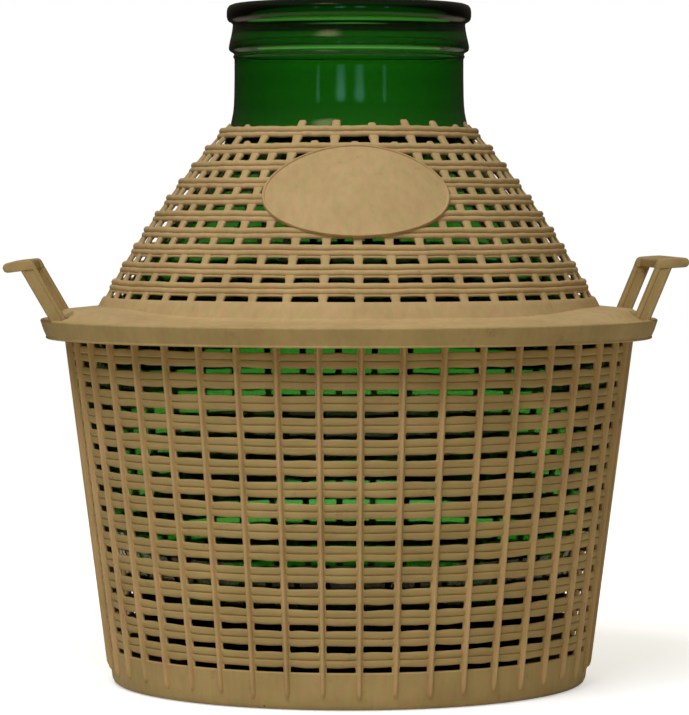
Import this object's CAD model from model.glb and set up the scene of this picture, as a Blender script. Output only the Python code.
import math

import bmesh
import bpy
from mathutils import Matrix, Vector


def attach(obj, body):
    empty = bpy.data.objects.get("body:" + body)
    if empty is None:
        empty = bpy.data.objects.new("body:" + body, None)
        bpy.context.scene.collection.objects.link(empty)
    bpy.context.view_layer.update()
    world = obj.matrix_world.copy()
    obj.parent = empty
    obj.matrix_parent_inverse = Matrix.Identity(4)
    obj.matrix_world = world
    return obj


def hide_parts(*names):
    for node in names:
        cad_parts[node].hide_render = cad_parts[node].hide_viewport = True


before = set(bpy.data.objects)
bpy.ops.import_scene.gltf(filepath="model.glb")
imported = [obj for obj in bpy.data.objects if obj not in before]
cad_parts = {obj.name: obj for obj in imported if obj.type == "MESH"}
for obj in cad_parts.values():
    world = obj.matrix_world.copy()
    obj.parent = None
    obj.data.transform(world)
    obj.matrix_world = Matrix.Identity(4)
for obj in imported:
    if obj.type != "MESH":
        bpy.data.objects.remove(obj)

MM = 0.001
FRONT = -math.pi / 2
COLUMNS = 44
RING_STEPS = COLUMNS * 6

# Cover's envelope, in metres and at the CAD's sizes
RIM_HEIGHT = 0.2120
CONE_HEIGHT = 0.1115
CONE_TOP = 0.0735
CONE_FOOT = 0.1502
CONE_BULGE = 0.0053

# Cover's slats: round rods, counted from the top, and a thin third one on the low rows
COVER_ROWS = 10
LAST_CLOSE_ROW = 7
THIRD_ROD_ROW = 7
ROD_PLACE = 1.66 * MM
ROD_RADIUS = 1.74 * MM
ROD_FLATTENING = 0.86
THIN_ROD_PLACE = 3.9 * MM
THIN_ROD_RADIUS = 0.75 * MM
ROD_LEAN = math.radians(20.0)

# Cover's strips, and the teeth that odd ones form above the top slat
STRIP_HALF = 2.35 * MM
STRIP_THICKNESS = 0.85 * MM
STRIP_ROUND = 0.9 * MM
STRIP_REACH = 3.1 * MM
STRIP_REACH_LOW = 4.4 * MM
TOOTH_BASE = 110.9
# Height of the front teeth over that base in mm, by column from the middle of the front
FRONT_TEETH = {-7: 2.2, -5: 1.0, -3: 4.1, -1: 4.1, 1: 2.6, 3: 4.6, 5: 4.1, 7: 2.4}

# Cover's foot, flange and slots for the handles' legs
COVER_FOOT_TOP = 224.8 * MM
FLANGE_EDGE = 175.0 * MM
SLOT_PLAY = 1.0 * MM
SLOT_INNER = 159.0 * MM
SLOT_OUTER = 200.0 * MM
SLOT_LOW = 190.0 * MM
SLOT_HIGH = 240.0 * MM

# Cover's plate: egg shaped, and narrower above its middle
PLATE_WIDTH = 109.0 * MM
PLATE_HEIGHT = 51.0 * MM
PLATE_CENTRE = 73.5 * MM
PLATE_EGG = 0.14
PLATE_POINT = 0.06
PLATE_STEPS = 120

# Basket wall: the ribs' crest is the outermost surface
CREST_BASE = 0.1405
CREST_SLOPE = 0.1275
WALL_TOP = 200.5 * MM
FOOT_BAND_TOP = 21.2 * MM
FOOT_BEND = 2.6 * MM
FOOT_STEPS = COLUMNS * 4

# Basket slats
SLAT_ROWS = 15
SLAT_PITCH = 11.80 * MM
FIRST_SLAT = 28.35 * MM
SLAT_HALF = 4.2 * MM
SLAT_DEPTH = 2.0 * MM
SLAT_LOBE = 1.35 * MM
SLAT_GROOVE = 0.22 * MM
SLAT_THICKNESS = 2.0 * MM
SLAT_DIP = 0.6 * MM

# Basket ribs
RIB_BEAD = 1.35 * MM
RIB_PROUD = 2.4 * MM
RIB_CORE = 2.6 * MM
RIB_HALF = 1.95 * MM
RIB_END_HALF = 1.7 * MM
RIB_TOP_HALF = 2.4 * MM

# Handles
LEAN_RIGHT = math.radians(22.5)
LEAN_LEFT = math.radians(30.0)
TILT_RIGHT = math.radians(3.5)
TILT_LEFT = math.radians(-7.0)
HANDLE_RISE = 45.5 * MM
LEG_THICKNESS = 8.2 * MM
LEG_WIDTH = 12.0 * MM
LEG_PLACE = 49.0 * MM
ROOT_X = 161.5 * MM
ROOT_Z = 201.6 * MM
GRIP_THICKNESS = 5.6 * MM
GRIP_REACH = 8.4 * MM
GRIP_SINK = 0.6
LEG_WEB = 0.35 * MM
LEG_FLANGE = 2.3 * MM
LEG_ROUND = 0.8 * MM

# Bottle, in millimetres. Its glass is thinner than the CAD's, for the colour.
BOTTLE_FOOT = 2.8
GLASS_WALL = 1.4
GLASS_MORE_AT_NECK = 1.0
GLASS_MORE_AT_FOOT = 4.5
BOTTLE_STEPS = 160

# Materials. The glass takes its colour from what light loses on its way through.
BLACK = (0.0, 0.0, 0.0)
WHITE = (1.0, 1.0, 1.0)
PLASTIC_ROUGHNESS = 0.46
SPECK_BROWN = (0.15, 0.085, 0.035)
GLASS_GREEN = (0.11, 0.58, 0.0)
GLASS_DENSITY = 1310.0

# Stage and lights
FLOOR_HALF = 6.0
FLOOR_DROP = 0.2 * MM
FLOOR_FADE_START = 0.45
FLOOR_FADE_END = 1.6
FLOOR_WHITE = (0.86, 0.86, 0.85)
FLOOR_GLOW = 0.5
FLOOR_BOUNCE = (0.62, 0.585, 0.46)
SKY_LOW = (0.055, 0.050, 0.036)
SKY_HIGH = (0.44, 0.41, 0.31)
SKY_MIRRORED = 0.45
WARM_FILL = (1.0, 0.92, 0.70)
COOL_KEY = (1.0, 1.02, 1.12)
AMBER = (1.0, 0.8, 0.5)
WINDOW = (0.35, 0.9, 0.8)
WINDOW_AIM = (0.0, 0.0, 0.55)

# Camera, at the photograph's viewing angle
CAMERA_TURN = math.radians(2.35)
CAMERA_DISTANCE = 2.106
CAMERA_HEIGHT = 0.2735
CAMERA_LENS = 188.1
CAMERA_SENSOR = 36.0
AIM_LEFT = 0.0026
AIM_HEIGHT = 0.1889


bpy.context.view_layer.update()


# Mesh helpers

def polar(angle, radius, height):
    return Vector((radius * math.cos(angle), radius * math.sin(angle), height))


def join_rows(bm, low, high):
    """Faces between two closed rows of equal count."""
    for i in range(len(low)):
        j = (i + 1) % len(low)
        bm.faces.new((low[i], low[j], high[j], high[i]))


def add_skin(bm, sections, loop):
    """Faces through closed sections of equal count, joined end to end or capped."""
    rows = [[bm.verts.new(point) for point in section] for section in sections]
    spans = list(zip(rows, rows[1:]))
    if loop:
        spans.append((rows[-1], rows[0]))
    for low, high in spans:
        join_rows(bm, low, high)
    if not loop:
        bm.faces.new(rows[0])
        bm.faces.new(rows[-1])


def mesh_object(name, bm):
    """Object in the scene from a closed mesh, with its faces turned outward."""
    bmesh.ops.recalc_face_normals(bm, faces=bm.faces)
    mesh = bpy.data.meshes.new(name)
    bm.to_mesh(mesh)
    bm.free()
    thing = bpy.data.objects.new(name, mesh)
    bpy.context.scene.collection.objects.link(thing)
    return thing


def finish_mesh(name, bm, material, body, sharp=35.0):
    """Piece with its material, shaded smooth up to the sharp angle, riding on its body."""
    thing = mesh_object(name, bm)
    for polygon in thing.data.polygons:
        polygon.use_smooth = True
    thing.data.set_sharp_from_angle(angle=math.radians(sharp))
    thing.data.materials.append(material)
    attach(thing, body)
    return thing


def turned(bm, profile, segments):
    """Closed (radius, height) profile turned about the axis. It may depend on the angle."""
    sections = []
    for k in range(segments):
        angle = FRONT + math.tau * k / segments
        points = profile(angle) if callable(profile) else profile
        sections.append([polar(angle, radius, height) for radius, height in points])
    add_skin(bm, sections, True)


def smooth_step(value):
    value = max(0.0, min(1.0, value))
    return value * value * (3.0 - 2.0 * value)


def spline(points, step):
    """Catmull-Rom curve through 2D points, sampled about every step."""
    curve = []
    ends = [points[0]] + list(points) + [points[-1]]
    for before, start, end, after in zip(ends, ends[1:], ends[2:], ends[3:]):
        length = math.hypot(end[0] - start[0], end[1] - start[1])
        count = max(1, int(length / step))
        for k in range(count):
            t = k / count
            point = []
            for axis in (0, 1):
                a, b, c, d = before[axis], start[axis], end[axis], after[axis]
                value = 2 * b + (c - a) * t + (2 * a - 5 * b + 4 * c - d) * t * t
                point.append((value + (3 * b - a - 3 * c + d) * t ** 3) / 2.0)
            curve.append(tuple(point))
    curve.append(tuple(points[-1]))
    return curve


# Materials

def new_material(name):
    material = bpy.data.materials.new(name)
    material.use_nodes = True
    tree = material.node_tree
    return material, tree, tree.nodes["Principled BSDF"]


def noise_node(tree, coords, scale, detail, rough=0.5):
    node = tree.nodes.new("ShaderNodeTexNoise")
    node.inputs["Scale"].default_value = scale
    node.inputs["Detail"].default_value = detail
    node.inputs["Roughness"].default_value = rough
    tree.links.new(coords, node.inputs["Vector"])
    return node.outputs["Fac"]


def ramp_node(tree, source, stops):
    node = tree.nodes.new("ShaderNodeValToRGB")
    ramp = node.color_ramp
    while len(ramp.elements) < len(stops):
        ramp.elements.new(0.5)
    for element, (place, colour) in zip(ramp.elements, stops):
        element.position = place
        element.color = (*colour, 1.0)
    tree.links.new(source, node.inputs["Fac"])
    return node.outputs["Color"]


def mix_node(tree, kind, amount, first, second):
    """Mix of two colours. The amount and the second may be plain values or sockets."""
    node = tree.nodes.new("ShaderNodeMix")
    node.data_type = "RGBA"
    node.blend_type = kind
    if isinstance(amount, float):
        node.inputs[0].default_value = amount
    else:
        tree.links.new(amount, node.inputs[0])
    tree.links.new(first, node.inputs[6])
    if isinstance(second, tuple):
        node.inputs[7].default_value = (*second, 1.0)
    else:
        tree.links.new(second, node.inputs[7])
    return node.outputs[2]


def stretched(tree, coords, scale):
    node = tree.nodes.new("ShaderNodeMapping")
    node.inputs["Scale"].default_value = scale
    tree.links.new(coords, node.inputs["Vector"])
    return node.outputs["Vector"]


def bump_node(tree, height, strength, distance):
    node = tree.nodes.new("ShaderNodeBump")
    node.inputs["Strength"].default_value = strength
    node.inputs["Distance"].default_value = distance
    tree.links.new(height, node.inputs["Height"])
    return node


def plastic(name, light, mid, dark, flow_scale=(1.0, 1.0, 0.12)):
    """Moulded basket plastic: mottled colour, flow marks, specks of dirt and a fine grain."""
    material, tree, shader = new_material(name)
    coords = tree.nodes.new("ShaderNodeTexCoord").outputs["Object"]
    blotch = noise_node(tree, coords, 28.0, 5.0, 0.55)
    colour = ramp_node(tree, blotch, [(0.30, dark), (0.50, mid), (0.70, light)])
    flow = noise_node(tree, stretched(tree, coords, flow_scale), 260.0, 3.0)
    streak = ramp_node(tree, flow, [(0.35, (0.90, 0.892, 0.865)), (0.62, WHITE)])
    colour = mix_node(tree, "MULTIPLY", 0.8, colour, streak)
    hue = noise_node(tree, coords, 210.0, 3.0, 0.6)
    blush = ramp_node(tree, hue, [(0.35, (0.92, 1.0, 0.92)), (0.65, (1.0, 0.93, 1.0))])
    colour = mix_node(tree, "MULTIPLY", 0.9, colour, blush)
    grime = noise_node(tree, coords, 95.0, 8.0, 0.7)
    dirt = ramp_node(tree, grime, [(0.60, BLACK), (0.82, WHITE)])
    colour = mix_node(tree, "MIX", dirt, colour, tuple(c * 0.62 for c in dark))
    cells = tree.nodes.new("ShaderNodeTexVoronoi")
    cells.inputs["Scale"].default_value = 52.0
    tree.links.new(coords, cells.inputs["Vector"])
    speck = ramp_node(tree, cells.outputs["Distance"], [(0.020, WHITE), (0.038, BLACK)])
    colour = mix_node(tree, "MIX", speck, colour, SPECK_BROWN)
    tree.links.new(colour, shader.inputs["Base Color"])

    smooth, worn = PLASTIC_ROUGHNESS - 0.06, PLASTIC_ROUGHNESS + 0.14
    gloss = ramp_node(tree, grime, [(0.35, (smooth,) * 3), (0.70, (worn,) * 3)])
    tree.links.new(gloss, shader.inputs["Roughness"])
    shader.inputs["IOR"].default_value = 1.49
    shader.inputs["Specular IOR Level"].default_value = 0.42

    grain = noise_node(tree, coords, 900.0, 4.0, 0.6)
    waves = noise_node(tree, coords, 120.0, 2.0)
    bump = bump_node(tree, waves, 0.35, 0.00022)
    fine = bump_node(tree, grain, 0.25, 0.00006)
    tree.links.new(bump.outputs["Normal"], fine.inputs["Normal"])
    tree.links.new(fine.outputs["Normal"], shader.inputs["Normal"])
    return material


def green_glass():
    """Bottle glass that colours light by its thickness, with faint waves from the mould."""
    material, tree, shader = new_material("green_glass")
    coords = tree.nodes.new("ShaderNodeTexCoord").outputs["Object"]
    tint = noise_node(tree, coords, 14.0, 2.0)
    colour = ramp_node(tree, tint, [(0.35, (0.93, 0.98, 0.93)), (0.65, (0.98, 1.0, 0.98))])
    tree.links.new(colour, shader.inputs["Base Color"])
    shader.inputs["Transmission Weight"].default_value = 1.0
    shader.inputs["IOR"].default_value = 1.50
    smear = noise_node(tree, coords, 60.0, 6.0, 0.65)
    rough = ramp_node(tree, smear, [(0.45, (0.015,) * 3), (0.75, (0.07,) * 3)])
    tree.links.new(rough, shader.inputs["Roughness"])
    waves = noise_node(tree, stretched(tree, coords, (1.0, 1.0, 0.45)), 34.0, 2.0)
    bump = bump_node(tree, waves, 0.30, 0.0006)
    tree.links.new(bump.outputs["Normal"], shader.inputs["Normal"])
    volume = tree.nodes.new("ShaderNodeVolumeAbsorption")
    volume.inputs["Color"].default_value = (*GLASS_GREEN, 1.0)
    volume.inputs["Density"].default_value = GLASS_DENSITY
    tree.links.new(volume.outputs["Volume"], tree.nodes["Material Output"].inputs["Volume"])
    return material


COVER_PLASTIC = plastic(
    "cover_plastic", (0.65, 0.457, 0.222), (0.60, 0.418, 0.198), (0.54, 0.372, 0.170))
WALL_PLASTIC = plastic(
    "wall_plastic", (0.59, 0.420, 0.186), (0.54, 0.382, 0.164), (0.48, 0.338, 0.140))
SLAT_PLASTIC = plastic(
    "slat_plastic", (0.56, 0.400, 0.172), (0.50, 0.356, 0.150), (0.43, 0.306, 0.125),
    flow_scale=(0.14, 0.14, 2.2))
RIB_PLASTIC = plastic(
    "rib_plastic", (0.70, 0.475, 0.232), (0.64, 0.432, 0.206), (0.56, 0.372, 0.170))
HANDLE_PLASTIC = plastic(
    "handle_plastic", (0.50, 0.352, 0.152), (0.46, 0.320, 0.134), (0.40, 0.276, 0.112))
GLASS = green_glass()


# Basket wall

def crest(height):
    """Radius of the ribs' crest."""
    return CREST_BASE + CREST_SLOPE * height


def slat_section():
    """(out, up) points of a slat: two round lobes in front, each faintly grooved, and a flat back."""
    half, back = SLAT_HALF, SLAT_THICKNESS
    points = []
    for centre in (-half / 2.0, half / 2.0):
        for step in range(7):
            angle = math.radians(-84.0 + 28.0 * step)
            out = SLAT_LOBE * (math.cos(angle) ** 0.6 - 1.0) - (SLAT_GROOVE if step == 3 else 0.0)
            points.append((out, centre + half / 2.0 * math.sin(angle)))
    points += [(-back, half * 0.93), (-back - 0.25 * MM, half * 0.7)]
    points += [(-back - 0.25 * MM, -half * 0.7), (-back, -half * 0.93)]
    return points


def basket_slats():
    """Rows of slats that sway and swell a little, and dip where a rib crosses them."""
    bm = bmesh.new()
    shape = slat_section()
    for row in range(SLAT_ROWS):
        middle = FIRST_SLAT + SLAT_PITCH * row

        def profile(angle, row=row, middle=middle):
            turn = angle - FRONT
            sway = 0.16 * MM * math.sin(5 * turn + 1.7 * row)
            sway += 0.12 * MM * math.sin(17 * turn + 2.9 * row)
            swell = 1.0 - 0.03 * math.cos(COLUMNS * turn) + 0.035 * math.sin(29 * turn + 2.1 * row)
            swell += 0.025 * math.sin(53 * turn + 1.3 * row)
            dip = SLAT_DIP * max(0.0, math.cos(COLUMNS * turn)) ** 3
            points = []
            for out, up in shape:
                height = middle + sway + up * swell
                points.append((crest(height) - SLAT_DEPTH - dip + out, height))
            return points

        turned(bm, profile, RING_STEPS)
    return finish_mesh("basket_slats", bm, SLAT_PLASTIC, "basket")


def rib_section(angle, height, wide, shrink):
    """Rib on the wall: a half-oval bead in front of a flat strip."""
    out = Vector((math.cos(angle), math.sin(angle), 0.0))
    side = Vector((-math.sin(angle), math.cos(angle), 0.0))
    local = [(-wide, -4.0 * MM), (-wide, -3.0 * MM), (-RIB_BEAD - 0.15 * MM, -2.75 * MM)]
    for step in range(9):
        turn = math.radians(180.0 - 22.5 * step)
        local.append((RIB_BEAD * math.cos(turn), -RIB_PROUD + RIB_PROUD * math.sin(turn)))
    local += [(RIB_BEAD + 0.15 * MM, -2.75 * MM), (wide, -3.0 * MM), (wide, -4.0 * MM)]
    centre = out * (crest(height) - RIB_CORE) + Vector((0.0, 0.0, height))
    return [centre + side * (u * shrink) + out * ((n + RIB_CORE) * shrink) for u, n in local]


def rib_heights():
    """Heights and half-widths along a rib, wider where it runs into a slat."""
    rows = []
    gap_half = (SLAT_PITCH - 2.0 * SLAT_HALF) / 2.0
    for gap in range(SLAT_ROWS + 1):
        middle = FIRST_SLAT + SLAT_PITCH * (gap - 0.5)
        for share in (-1.25, -0.9, -0.45, 0.45, 0.9, 1.25):
            wide = RIB_HALF + 0.45 * MM * min(1.0, abs(share)) ** 4
            rows.append((middle + gap_half * share, wide))
    return rows


def basket_ribs():
    """Ribs with rounded lower ends, each bent and cut off a little unlike the next."""
    bm = bmesh.new()
    for column in range(COLUMNS):
        angle = FRONT + math.tau * column / COLUMNS
        end = (6.4 + 1.0 * math.sin(column * 2.1) + 1.6 * abs(math.sin(angle + math.pi / 2))) * MM
        sections = []
        for up, shrink in ((0.0, 0.35), (0.5, 0.62), (1.4, 0.82), (3.0, 0.96), (4.2, 1.0)):
            sections.append(rib_section(angle, end + up * MM, RIB_END_HALF, shrink))
        for height, wide in rib_heights():
            if height < WALL_TOP - 0.2 * MM:
                bend = 0.0012 * math.sin(column * 1.9) * math.sin(height * 16.0)
                sections.append(rib_section(angle + bend, height, wide, 1.0))
        sections.append(rib_section(angle, WALL_TOP, RIB_TOP_HALF, 1.0))
        add_skin(bm, sections, False)
    return finish_mesh("basket_ribs", bm, RIB_PLASTIC, "basket", 50.0)


def basket_foot():
    """Solid band at the foot of the wall, and the floor."""
    def face(height):
        return crest(height) - SLAT_DEPTH - 0.2 * MM

    top = FOOT_BAND_TOP
    points = [(0.02 * MM, 0.0), (0.120, 0.0), (0.131, 0.0), (face(0.0) - FOOT_BEND, 0.1 * MM)]
    for turn in (25.0, 50.0, 75.0):
        a = math.radians(turn)
        radius = face(0.0) - FOOT_BEND * (1 - math.sin(a))
        points.append((radius, FOOT_BEND * (1 - math.cos(a)) + 0.1 * MM))
    points += [(face(3 * MM), 3 * MM), (face(9 * MM), 9 * MM), (face(15 * MM), 15 * MM)]
    points += [(face(top) - 0.1 * MM, top - 0.7 * MM), (face(top) - 0.7 * MM, top)]
    points += [(face(top) - 2.2 * MM, top), (face(top) - 2.6 * MM, top - 0.6 * MM)]
    points += [(face(5 * MM) - 2.7 * MM, 5 * MM), (face(3 * MM) - 4.2 * MM, 2.7 * MM)]
    points += [(0.02 * MM, 2.5 * MM)]
    bm = bmesh.new()
    turned(bm, points, FOOT_STEPS)
    return finish_mesh("basket_foot", bm, WALL_PLASTIC, "basket")


def basket_rim():
    """Shelf round the top of the wall, with the tapered rim standing on it."""
    points = [(162.6, 200.5), (170.0, 200.6), (175.6, 200.8), (176.4, 200.8), (176.8, 201.1)]
    points += [(176.9, 201.6), (176.7, 202.1), (176.8, 202.6)]
    points += [(178.2, 205.6), (179.7, 210.2), (180.0, 211.0), (179.9, 211.6), (179.4, 212.0)]
    points += [(178.4, 212.2), (176.6, 212.2), (175.8, 212.0), (175.5, 211.4)]
    points += [(174.6, 206.0), (174.1, 203.2), (173.6, 202.7), (168.0, 202.7), (162.6, 202.7)]
    bm = bmesh.new()
    turned(bm, [(radius * MM, height * MM) for radius, height in points], RING_STEPS)
    return finish_mesh("basket_rim", bm, WALL_PLASTIC, "basket", 28.0)


# Handles

def leg_section(side, place, height, lean):
    """I-section of a leg: two flanges and a recessed web, seen along the leg."""
    half = LEG_THICKNESS / 2.0 / math.cos(lean)
    wide = LEG_WIDTH / 2.0 - 0.25 * MM
    web, round_off = LEG_WEB, LEG_ROUND
    inner = half - LEG_FLANGE
    outline = [(inner, wide - web), (inner + 0.25 * MM, wide)]
    outline += [(half - round_off, wide), (half, wide - round_off)]
    outline += [(half, -(wide - round_off)), (half - round_off, -wide)]
    outline += [(inner + 0.25 * MM, -wide), (inner, -(wide - web))]
    outline += [(-inner, -(wide - web)), (-inner - 0.25 * MM, -wide), (-(half - round_off), -wide)]
    outline += [(-half, -(wide - round_off)), (-half, wide - round_off)]
    outline += [(-(half - round_off), wide)]
    outline += [(-inner - 0.25 * MM, wide), (-inner, wide - web)]
    middle = ROOT_X + (height - ROOT_Z) * math.tan(lean)
    section = []
    for across, along in outline:
        section.append(Vector((side * (middle + across), side * (place + along), height)))
    return section


def grip_profile(lean, tilt, over_leg):
    """Rounded slab in the (out, up) plane, outward from the legs' inner top corner.

    Over a leg its inner end leans with the leg.
    """
    half = GRIP_THICKNESS / 2.0
    length = LEG_THICKNESS + GRIP_REACH
    rise = HANDLE_RISE * math.cos(lean - LEAN_RIGHT)
    corner_x = ROOT_X + rise * math.tan(lean) - LEG_THICKNESS / 2.0 / math.cos(lean)
    corner_z = ROOT_Z + rise
    local = []
    for step in range(9):
        angle = math.radians(-90.0 + 22.5 * step)
        local.append((length - half + half * math.cos(angle), -half + half * math.sin(angle)))
    local += [(length * 0.55, 0.12 * MM), (2.0 * MM, 0.0)]
    slope = math.tan(lean + tilt) if over_leg else 0.0
    inset = 0.15 * MM if over_leg else 0.0
    end = [(0.9 * MM, -0.25 * MM), (0.25 * MM, -0.9 * MM), (0.0, -2.0 * MM)]
    end += [(0.05 * MM, -GRIP_THICKNESS + 0.8 * MM), (0.8 * MM, -GRIP_THICKNESS)]
    local += [(u + v * slope - inset, v) for u, v in end]
    local += [(length * 0.55, -GRIP_THICKNESS)]
    cos_t, sin_t = math.cos(tilt), math.sin(tilt)
    return [(corner_x + u * cos_t - v * sin_t, corner_z + u * sin_t + v * cos_t) for u, v in local]


def handle(name, side, lean, tilt):
    """Two legs and the grip over them, on the right for side 1 and on the left for -1."""
    bm = bmesh.new()
    rise = HANDLE_RISE * math.cos(lean - LEAN_RIGHT)
    top = ROOT_Z + rise - GRIP_THICKNESS * GRIP_SINK
    for place in (-LEG_PLACE, LEG_PLACE):
        sections = []
        for height in (ROOT_Z - 0.4 * MM, ROOT_Z + 12 * MM, top - 3.5 * MM, top):
            sections.append(leg_section(side, place, height, lean))
        add_skin(bm, sections, False)
    profile = grip_profile(lean, tilt, True)
    between = grip_profile(lean, tilt, False)
    middle_x = sum(x for x, _ in profile) / len(profile)
    middle_z = sum(z for _, z in profile) / len(profile)
    reach = LEG_PLACE + LEG_WIDTH / 2.0
    sections = []
    ends = ((-reach, 0.86), (-reach + 0.25 * MM, 0.94), (-reach + 0.9 * MM, 1.0))
    inner = LEG_PLACE - LEG_WIDTH / 2.0
    bridge = [-inner, -inner + 0.7 * MM] + [inner * k / 4.0 for k in range(-3, 4)]
    bridge += [inner - 0.7 * MM, inner]
    stations = list(ends) + [(along, 1.0) for along in bridge]
    stations += [(-along, scale) for along, scale in reversed(ends)]
    for along, scale in stations:
        section = []
        for x, z in (profile if abs(along) > inner - 0.1 * MM else between):
            across = middle_x + (x - middle_x) * scale
            up = middle_z + (z - middle_z) * scale
            section.append(Vector((side * across, side * along, up)))
        sections.append(section)
    add_skin(bm, sections, False)
    return finish_mesh(name, bm, HANDLE_PLASTIC, "basket", 40.0)


# Cover

def cone_radius(rise):
    """Radius of the cover's outer surface at a height above the rim."""
    t = 1.0 - rise / CONE_HEIGHT
    return CONE_TOP + (CONE_FOOT - CONE_TOP) * t + 4.0 * CONE_BULGE * t * (1.0 - t)


def cone_frame(rise):
    """Point on the cover's outer surface and the direction out of it, as (radius, height) pairs."""
    step = 0.5 * MM
    slope = (cone_radius(rise + step) - cone_radius(rise - step)) / (2.0 * step)
    length = math.hypot(1.0, slope)
    return (cone_radius(rise), RIM_HEIGHT + rise), (1.0 / length, -slope / length)


def cover_row(row):
    """Rise of a slat's middle, counted from the top. The lowest are wider apart."""
    if row > LAST_CLOSE_ROW:
        return (41.0 - 10.35 * (row - LAST_CLOSE_ROW)) * MM
    return (108.0 - 9.6 * row - 0.5 * math.sin(math.pi * row / 5.0)) * MM


def cover_slat_section(row):
    """Two round rods, and on low rows a thin third. Each lower one is further out."""
    rods = [(ROD_PLACE, ROD_RADIUS, 0.0), (-ROD_PLACE, ROD_RADIUS, 0.0)]
    if row >= THIRD_ROD_ROW:
        rods.append((-THIN_ROD_PLACE, THIN_ROD_RADIUS, THIN_ROD_RADIUS))
    points = []
    for centre, radius, back in reversed(rods):
        for step in range(7):
            angle = math.radians(-78.0 + 26.0 * step)
            out = radius * ROD_FLATTENING * (math.cos(angle) - 1.0) - back
            points.append((out, centre + radius * math.sin(angle)))
    low = points[0][1]
    points += [(-2.1 * MM, 2.9 * MM), (-2.5 * MM, 2.2 * MM)]
    points += [(-2.5 * MM, low + 0.9 * MM), (-2.1 * MM, low + 0.2 * MM)]
    cos_l, sin_l = math.cos(ROD_LEAN), math.sin(ROD_LEAN)
    return [(out * cos_l - up * sin_l, out * sin_l + up * cos_l) for out, up in points]


def cover_slats():
    """Rows of slats that sway a little on the cone."""
    bm = bmesh.new()
    for row in range(COVER_ROWS):
        rise = cover_row(row)
        shape = cover_slat_section(row)

        def profile(angle, row=row, rise=rise, shape=shape):
            turn = angle - FRONT
            sway = 0.14 * MM * math.sin(4 * turn + 2.3 * row)
            sway += 0.10 * MM * math.sin(15 * turn + 1.1 * row)
            sway -= 0.10 * MM * math.cos(COLUMNS * turn)
            radius = cone_radius(rise) - 0.25 * MM
            return [(radius + out, RIM_HEIGHT + rise + sway + up) for out, up in shape]

        turned(bm, profile, RING_STEPS)
    return finish_mesh("cover_slats", bm, COVER_PLASTIC, "cover")


def cover_strip_section(angle, rise, half, shrink=1.0):
    """Flat strip with rounded edges, 2.2 mm inside the cover's outer surface."""
    (radius, height), (out_r, out_z) = cone_frame(rise)
    side = Vector((-math.sin(angle), math.cos(angle), 0.0))
    out = Vector((math.cos(angle) * out_r, math.sin(angle) * out_r, out_z))
    centre = Vector((math.cos(angle) * radius, math.sin(angle) * radius, height)) - out * 2.2 * MM
    thick = STRIP_THICKNESS * shrink
    local = [(-half, -thick), (-half, thick * 0.3), (-half * 0.82, thick * 0.85)]
    local += [(-half * 0.4, thick), (half * 0.4, thick)]
    local += [(half * 0.82, thick * 0.85), (half, thick * 0.3), (half, -thick)]
    return [centre + side * u + out * n for u, n in local]


def strip_stations(low, high):
    """(rise, half-width) pairs along a strip, wider where it runs into a slat."""
    stations = [(low, STRIP_HALF)]
    bounds = [COVER_FOOT_TOP - RIM_HEIGHT + 0.4 * MM]
    for row in reversed(range(COVER_ROWS)):
        bottom = STRIP_REACH_LOW if row >= THIRD_ROD_ROW else STRIP_REACH
        bounds += [cover_row(row) - bottom, cover_row(row) + STRIP_REACH]
    for gap in range(0, len(bounds) - 1, 2):
        start, end = bounds[gap], bounds[gap + 1]
        for share in (-0.08, 0.12, 0.35, 0.65, 0.88, 1.08):
            rise = start + (end - start) * share
            near = min(1.0, abs(share - 0.5) * 2.0)
            stations.append((rise, STRIP_HALF + 0.5 * MM * near ** 4))
    stations.append((high, STRIP_HALF))
    return [item for item in stations if low <= item[0] <= high]


def cover_strips():
    """Strips up the cone. Odd ones end in a tooth above the top slat, even ones over the second."""
    bm = bmesh.new()
    foot = COVER_FOOT_TOP - RIM_HEIGHT - 1.5 * MM
    for column in range(COLUMNS):
        angle = FRONT + math.tau * column / COLUMNS
        through = column % 2 == 1
        if through:
            offset = (column + COLUMNS // 2) % COLUMNS - COLUMNS // 2
            uneven = 3.0 + 1.5 * math.sin(column * 2.3)
            end = (TOOTH_BASE + FRONT_TEETH.get(offset, uneven)) * MM
        else:
            end = cover_row(1) + (4.6 + 0.7 * math.sin(column * 1.7)) * MM
        stations = strip_stations(foot, end - STRIP_ROUND)
        sections = [cover_strip_section(angle, rise, half) for rise, half in stations]
        for turn in (30.0, 55.0, 78.0):
            a = math.radians(turn)
            rise = end - STRIP_ROUND * (1.0 - math.sin(a))
            half = STRIP_HALF * (0.72 + 0.28 * math.cos(a))
            sections.append(cover_strip_section(angle, rise, half, 0.9))
        add_skin(bm, sections, False)
    return finish_mesh("cover_strips", bm, COVER_PLASTIC, "cover", 45.0)


def pad_share(angle):
    """1 beside a handle, where the flange is raised, and 0 elsewhere round it."""
    off = abs(math.sin(angle))
    return 1.0 - smooth_step((off - 0.40) / 0.45)


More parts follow.
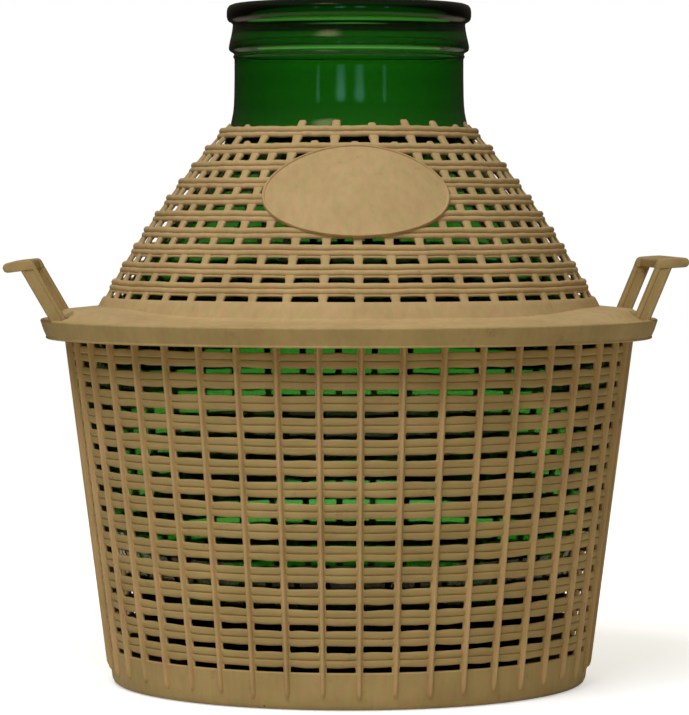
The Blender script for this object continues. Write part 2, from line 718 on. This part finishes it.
def flange_profile(angle):
    """Solid band at the cone's foot, the sloping flange, and the lip that drops inside the rim."""
    pad = pad_share(angle)
    joint = (2.8 + 4.0 * pad) * MM
    foot = cone_radius(joint)

    def top_height(radius):
        """Top of the flange: 2.3 mm higher for each 24 mm inward, up to 4.2 mm more on a pad."""
        base = 212.3 + 2.3 * (174.6 - radius / MM) / 24.0
        raised = 4.2 * pad * (1.0 - smooth_step((radius / MM - 165.5) / 9.0))
        return (base + raised) * MM

    outer = [(FLANGE_EDGE, top_height(FLANGE_EDGE) - 0.35 * MM)]
    slope = [radius * MM for radius in (174.5, 172.0, 169.0, 166.0, 162.0, 157.0)]
    for radius in slope + [foot + 2.6 * MM]:
        outer.append((radius, top_height(radius)))
    outer.append((foot + 0.9 * MM, RIM_HEIGHT + joint + 0.35 * MM))
    for share in (0.12, 0.4, 0.7, 1.0):
        rise = joint + (COVER_FOOT_TOP - 0.6 * MM - RIM_HEIGHT - joint) * share
        outer.append((cone_radius(rise), RIM_HEIGHT + rise))
    crown = (cone_radius(COVER_FOOT_TOP - RIM_HEIGHT) - 0.5 * MM, COVER_FOOT_TOP)
    inner = [(crown[0] - 1.4 * MM, COVER_FOOT_TOP - 0.1 * MM)]
    inner.append((crown[0] - 2.2 * MM, COVER_FOOT_TOP - 0.7 * MM))
    inner.append((foot - 2.4 * MM, RIM_HEIGHT + joint - 1.0 * MM))
    for radius in (foot + 1.5 * MM, 162.0 * MM, 169.0 * MM, 172.4 * MM):
        inner.append((radius, top_height(radius) - 2.2 * MM))
    lip = [(172.2 * MM, 203.4 * MM), (172.5 * MM, 203.1 * MM)]
    lip += [(173.2 * MM, 203.1 * MM), (173.5 * MM, 203.4 * MM)]
    return lip + outer + [crown] + inner


def box_tool(low, high):
    """Box between two corners, to cut with."""
    bm = bmesh.new()
    corners_low = [Vector((x, y, low[2])) for x, y in (
        (low[0], low[1]), (high[0], low[1]), (high[0], high[1]), (low[0], high[1]))]
    corners_high = [point + Vector((0.0, 0.0, high[2] - low[2])) for point in corners_low]
    add_skin(bm, [corners_low, corners_high], False)
    return mesh_object("slot_tool", bm)


def cut(target, tool):
    modifier = target.modifiers.new("slot", "BOOLEAN")
    modifier.object = tool
    modifier.operation = "DIFFERENCE"
    modifier.solver = "EXACT"
    with bpy.context.temp_override(object=target, active_object=target):
        bpy.ops.object.modifier_apply(modifier=modifier.name)
    bpy.data.objects.remove(tool, do_unlink=True)


def cover_foot():
    """Cone's foot and flange, slotted where the handles' legs pass."""
    bm = bmesh.new()
    turned(bm, flange_profile, RING_STEPS)
    thing = finish_mesh("cover_foot", bm, COVER_PLASTIC, "cover", 30.0)
    reach = LEG_WIDTH / 2.0 + SLOT_PLAY
    for side in (1.0, -1.0):
        for place in (-LEG_PLACE, LEG_PLACE):
            ends = sorted((side * SLOT_INNER, side * SLOT_OUTER))
            tool = box_tool((ends[0], place - reach, SLOT_LOW), (ends[1], place + reach, SLOT_HIGH))
            cut(thing, tool)
    return thing


def plate_point(share, turn, depth):
    """Point at a share of the way to the plate's edge, depth below the cover's outer surface."""
    rise = math.sin(turn)
    up = PLATE_HEIGHT / 2.0 * rise * share
    egg = 1.0 - PLATE_EGG * rise - PLATE_POINT * rise * rise
    across = PLATE_WIDTH / 2.0 * math.cos(turn) * egg * share
    (radius, height), (out_r, out_z) = cone_frame(PLATE_CENTRE + up)
    radius -= depth * out_r
    height -= depth * out_z
    return polar(FRONT + across / radius, radius, height)


def cover_plate():
    """Bare egg-shaped plate with a thin raised edge."""
    bm = bmesh.new()
    count = PLATE_STEPS
    layers = [(1.0, 1.4), (1.0, -1.0), (0.997, -1.5), (0.990, -1.8)]
    layers += [(0.981, -1.8), (0.973, -1.45), (0.966, -0.95)]
    layers += [(0.93, -0.9), (0.80, -0.95), (0.60, -1.0), (0.40, -1.05), (0.20, -1.1), (0.04, -1.1)]
    back = [(0.04, 1.6), (0.5, 1.5), (0.95, 1.4)]
    sections = []
    for share, depth in layers + back:
        ring = [plate_point(share, math.tau * k / count, depth * MM) for k in range(count)]
        sections.append(ring)
    rows = [[bm.verts.new(point) for point in ring] for ring in sections]
    pairs = list(zip(rows[:len(layers)], rows[1:len(layers)]))
    pairs += list(zip(rows[len(layers):], rows[len(layers) + 1:]))
    pairs.append((rows[-1], rows[0]))
    for low, high in pairs:
        join_rows(bm, low, high)
    bm.faces.new(rows[len(layers) - 1])
    bm.faces.new(rows[len(layers)])
    return finish_mesh("cover_plate", bm, COVER_PLASTIC, "cover", 60.0)


# Bottle

def bottle_profile():
    """Closed (radius, height) outline of the glass, outside and inside, listed in millimetres."""
    foot = BOTTLE_FOOT
    body = [(60.0, foot + 1.8), (80.0, foot + 0.2), (88.0, foot + 0.3), (99.0, foot + 3.2)]
    body += [(108.4, foot + 7.9)]
    body += [(118.9, 27.4), (127.2, 53.8), (139.2, 94.3), (147.5, 136.5), (150.5, 171.7)]
    body += [(149.0, 187.0), (143.7, 203.3), (132.3, 225.1), (120.0, 245.9), (106.1, 266.6)]
    body += [(93.3, 284.2), (81.6, 299.5), (72.6, 314.5), (68.6, 327.0), (67.2, 336.0), (66.9, 346.0)]
    outside = spline(body, 3.5)
    outside += [(66.8, 352.0), (66.8, 357.0), (66.8, 362.5), (67.1, 363.5), (67.5, 364.0)]
    outside += [(67.5, 364.8), (67.1, 365.4)]
    outside += [(67.2, 366.2), (68.1, 366.9), (69.4, 367.6), (70.0, 368.5), (70.1, 369.8)]
    outside += [(69.9, 371.2), (69.3, 374.0), (68.6, 377.0), (68.1, 379.8), (67.8, 382.2)]
    outside += [(67.8, 383.2), (68.4, 384.0), (70.1, 384.9), (70.9, 385.9), (71.3, 387.6)]
    outside += [(71.3, 390.6), (70.9, 392.6)]
    outside += [(69.9, 393.95), (68.2, 394.65)]
    inside = [(65.9, 394.7), (63.8, 394.3), (62.7, 393.2), (62.6, 391.8), (63.6, 390.6)]
    inside += [(64.8, 389.2), (65.2, 387.2)]
    inside += [(64.8, 385.2), (64.6, 383.2), (65.1, 380.5), (66.0, 377.5), (66.9, 373.5)]
    inside += [(67.1, 369.8), (65.8, 367.2), (64.9, 365.3), (64.6, 362.5), (64.4, 352.0)]
    inner_body = []
    for radius, height in reversed(body[5:-1]):
        thick = GLASS_WALL + GLASS_MORE_AT_NECK * smooth_step((height - 305.0) / 35.0)
        thick += GLASS_MORE_AT_FOOT * smooth_step((80.0 - height) / 50.0)
        inner_body.append((radius - thick, height - 0.8))
    inner_body += [(104.0, 14.5), (92.0, 8.6), (76.0, 7.4), (56.0, 9.0)]
    inside += spline(inner_body, 4.5)
    bottom_in = [(40.0, 11.6), (20.0, 13.2), (0.02, 13.6)]
    bottom_out = [(0.02, 9.6), (20.0, 9.2), (40.0, 7.6)]
    walk = bottom_out + outside + inside + bottom_in
    return [(radius * MM, height * MM) for radius, height in walk]


def glass_bottle():
    bm = bmesh.new()
    turned(bm, bottle_profile(), BOTTLE_STEPS)
    return finish_mesh("glass_bottle", bm, GLASS, "bottle", 60.0)


# Build

basket_pieces = [basket_slats(), basket_ribs(), basket_foot(), basket_rim()]
basket_pieces.append(handle("handle_right", 1.0, LEAN_RIGHT, TILT_RIGHT))
basket_pieces.append(handle("handle_left", -1.0, LEAN_LEFT, TILT_LEFT))
cover_pieces = [cover_slats(), cover_strips(), cover_foot(), cover_plate()]
bottle = glass_bottle()
for piece in basket_pieces:
    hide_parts("basket")
for piece in cover_pieces:
    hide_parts("cover")
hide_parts("bottle")


# Stage, lights and camera

def seen_directly(tree):
    """1 for what the camera sees, straight or through the glass, and 0 for other light."""
    path = tree.nodes.new("ShaderNodeLightPath")
    either = tree.nodes.new("ShaderNodeMath")
    either.operation = "MAXIMUM"
    tree.links.new(path.outputs["Is Camera Ray"], either.inputs[0])
    tree.links.new(path.outputs["Is Transmission Ray"], either.inputs[1])
    return either.outputs[0]


def make_floor():
    """Floor that looks white and fades out with distance, but reflects a duller, warmer light."""
    mesh = bpy.data.meshes.new("floor")
    size = FLOOR_HALF
    corners_floor = [(-size, -size, 0.0), (size, -size, 0.0), (size, size, 0.0), (-size, size, 0.0)]
    mesh.from_pydata(corners_floor, [], [(0, 1, 2, 3)])
    floor = bpy.data.objects.new("floor", mesh)
    bpy.context.scene.collection.objects.link(floor)
    floor.location.z = -FLOOR_DROP
    material, tree, shader = new_material("floor_white")
    shader.inputs["Base Color"].default_value = (*FLOOR_WHITE, 1.0)
    shader.inputs["Roughness"].default_value = 0.9
    shader.inputs["Specular IOR Level"].default_value = 0.1
    coords = tree.nodes.new("ShaderNodeTexCoord").outputs["Object"]
    length = tree.nodes.new("ShaderNodeVectorMath")
    length.operation = "LENGTH"
    tree.links.new(coords, length.inputs[0])
    fade = tree.nodes.new("ShaderNodeMapRange")
    fade.inputs["From Min"].default_value = FLOOR_FADE_START
    fade.inputs["From Max"].default_value = FLOOR_FADE_END
    tree.links.new(length.outputs["Value"], fade.inputs["Value"])
    shader.inputs["Emission Color"].default_value = (*WHITE, 1.0)
    shader.inputs["Emission Strength"].default_value = FLOOR_GLOW
    dull = tree.nodes.new("ShaderNodeBsdfDiffuse")
    dull.inputs["Color"].default_value = (*FLOOR_BOUNCE, 1.0)
    seen = seen_directly(tree)
    shown = tree.nodes.new("ShaderNodeMixShader")
    tree.links.new(seen, shown.inputs[0])
    tree.links.new(dull.outputs[0], shown.inputs[1])
    tree.links.new(shader.outputs[0], shown.inputs[2])
    clear = tree.nodes.new("ShaderNodeBsdfTransparent")
    mix = tree.nodes.new("ShaderNodeMixShader")
    tree.links.new(fade.outputs["Result"], mix.inputs[0])
    tree.links.new(shown.outputs[0], mix.inputs[1])
    tree.links.new(clear.outputs[0], mix.inputs[2])
    tree.links.new(mix.outputs[0], tree.nodes["Material Output"].inputs["Surface"])
    mesh.materials.append(material)


def make_world():
    """White behind the object and through the glass, and a dim warm sky for the light on it.

    The sky is dimmer still where it is mirrored.
    """
    world = bpy.data.worlds.new("studio")
    bpy.context.scene.world = world
    world.use_nodes = True
    tree = world.node_tree
    seen = tree.nodes["Background"]
    seen.inputs["Color"].default_value = (*WHITE, 1.0)
    seen.inputs["Strength"].default_value = 1.0
    coords = tree.nodes.new("ShaderNodeTexCoord").outputs["Generated"]
    split = tree.nodes.new("ShaderNodeSeparateXYZ")
    tree.links.new(coords, split.inputs[0])
    shade = ramp_node(tree, split.outputs["Z"], [(0.0, SKY_LOW), (0.9, SKY_HIGH)])
    lit = tree.nodes.new("ShaderNodeBackground")
    tree.links.new(shade, lit.inputs["Color"])
    dim = tree.nodes.new("ShaderNodeMapRange")
    dim.inputs["To Min"].default_value = 1.0
    dim.inputs["To Max"].default_value = SKY_MIRRORED
    mirrored = tree.nodes.new("ShaderNodeLightPath").outputs["Is Glossy Ray"]
    tree.links.new(mirrored, dim.inputs["Value"])
    tree.links.new(dim.outputs["Result"], lit.inputs["Strength"])
    mix = tree.nodes.new("ShaderNodeMixShader")
    tree.links.new(seen_directly(tree), mix.inputs[0])
    tree.links.new(lit.outputs[0], mix.inputs[1])
    tree.links.new(seen.outputs[0], mix.inputs[2])
    tree.links.new(mix.outputs[0], tree.nodes["World Output"].inputs["Surface"])


def soften_edges(light):
    """Lets a lamp's brightness fade from its middle to its edges."""
    light.use_nodes = True
    tree = light.node_tree
    place = tree.nodes.new("ShaderNodeNewGeometry").outputs["Parametric"]
    off = tree.nodes.new("ShaderNodeVectorMath")
    off.operation = "DISTANCE"
    off.inputs[1].default_value = (0.5, 0.5, 0.0)
    tree.links.new(place, off.inputs[0])
    fade = tree.nodes.new("ShaderNodeMapRange")
    fade.interpolation_type = "SMOOTHSTEP"
    fade.inputs["From Min"].default_value = 0.5
    fade.inputs["From Max"].default_value = 0.12
    tree.links.new(off.outputs["Value"], fade.inputs["Value"])
    tree.links.new(fade.outputs["Result"], tree.nodes["Emission"].inputs["Strength"])


def area_light(name, place, target, size, power, tint=WHITE, shown=False):
    """Soft light, not seen through the glass. A shown one only mirrors in glass and plastic."""
    light = bpy.data.lights.new(name, "AREA")
    light.shape = "RECTANGLE"
    light.size, light.size_y = size
    light.energy = power
    light.color = tint
    lamp = bpy.data.objects.new(name, light)
    bpy.context.scene.collection.objects.link(lamp)
    lamp.location = place
    lamp.rotation_euler = (Vector(target) - Vector(place)).to_track_quat("-Z", "Y").to_euler()
    if shown:
        soften_edges(light)
    lamp.visible_camera = False
    lamp.visible_transmission = False
    lamp.visible_glossy = shown
    lamp.visible_diffuse = not shown


def make_camera():
    turn = CAMERA_TURN
    camera = bpy.data.cameras.new("camera")
    camera.sensor_fit = "HORIZONTAL"
    camera.sensor_width = CAMERA_SENSOR
    camera.lens = CAMERA_LENS
    camera.clip_start = 0.1
    camera.clip_end = 50.0
    view = bpy.data.objects.new("camera", camera)
    bpy.context.scene.collection.objects.link(view)
    away_x, away_y = -math.sin(turn) * CAMERA_DISTANCE, -math.cos(turn) * CAMERA_DISTANCE
    view.location = (away_x, away_y, CAMERA_HEIGHT)
    aim = Vector((-AIM_LEFT * math.cos(turn), AIM_LEFT * math.sin(turn), AIM_HEIGHT))
    view.rotation_euler = (aim - view.location).to_track_quat("-Z", "Y").to_euler()
    bpy.context.scene.camera = view


make_floor()
make_world()
bpy.context.scene.view_settings.view_transform = "Standard"
# Each lamp's name, place, aim, size, watts, tint, and whether its reflection shows
area_light("key", (-0.55, -1.22, 2.08), (0.0, 0.0, 0.2), (1.3, 1.0), 30.0, COOL_KEY)
area_light("fill_front", (-0.25, -2.45, 0.35), (0.0, 0.0, 0.10), (1.1, 0.6), 2.7, WARM_FILL)
area_light("back", (0.2, 1.9, 0.9), (0.0, 0.0, 0.25), (1.6, 1.0), 14.0)
area_light("streak", (-0.95, -2.0, 1.55), (0.0, 0.0, 0.38), (1.5, 0.34), 5.0, AMBER, True)
area_light("pane_left", (-0.47, -2.55, 0.61), WINDOW_AIM, (0.64, 0.50), 1.9, WINDOW, True)
area_light("pane_right", (0.36, -2.55, 0.61), WINDOW_AIM, (0.64, 0.50), 1.6, WINDOW, True)
area_light("pane_far_left", (-1.35, -2.1, 0.60), WINDOW_AIM, (0.26, 0.50), 0.4, WINDOW, True)
area_light("pane_far_right", (1.35, -2.1, 0.60), WINDOW_AIM, (0.26, 0.50), 0.4, WINDOW, True)
make_camera()
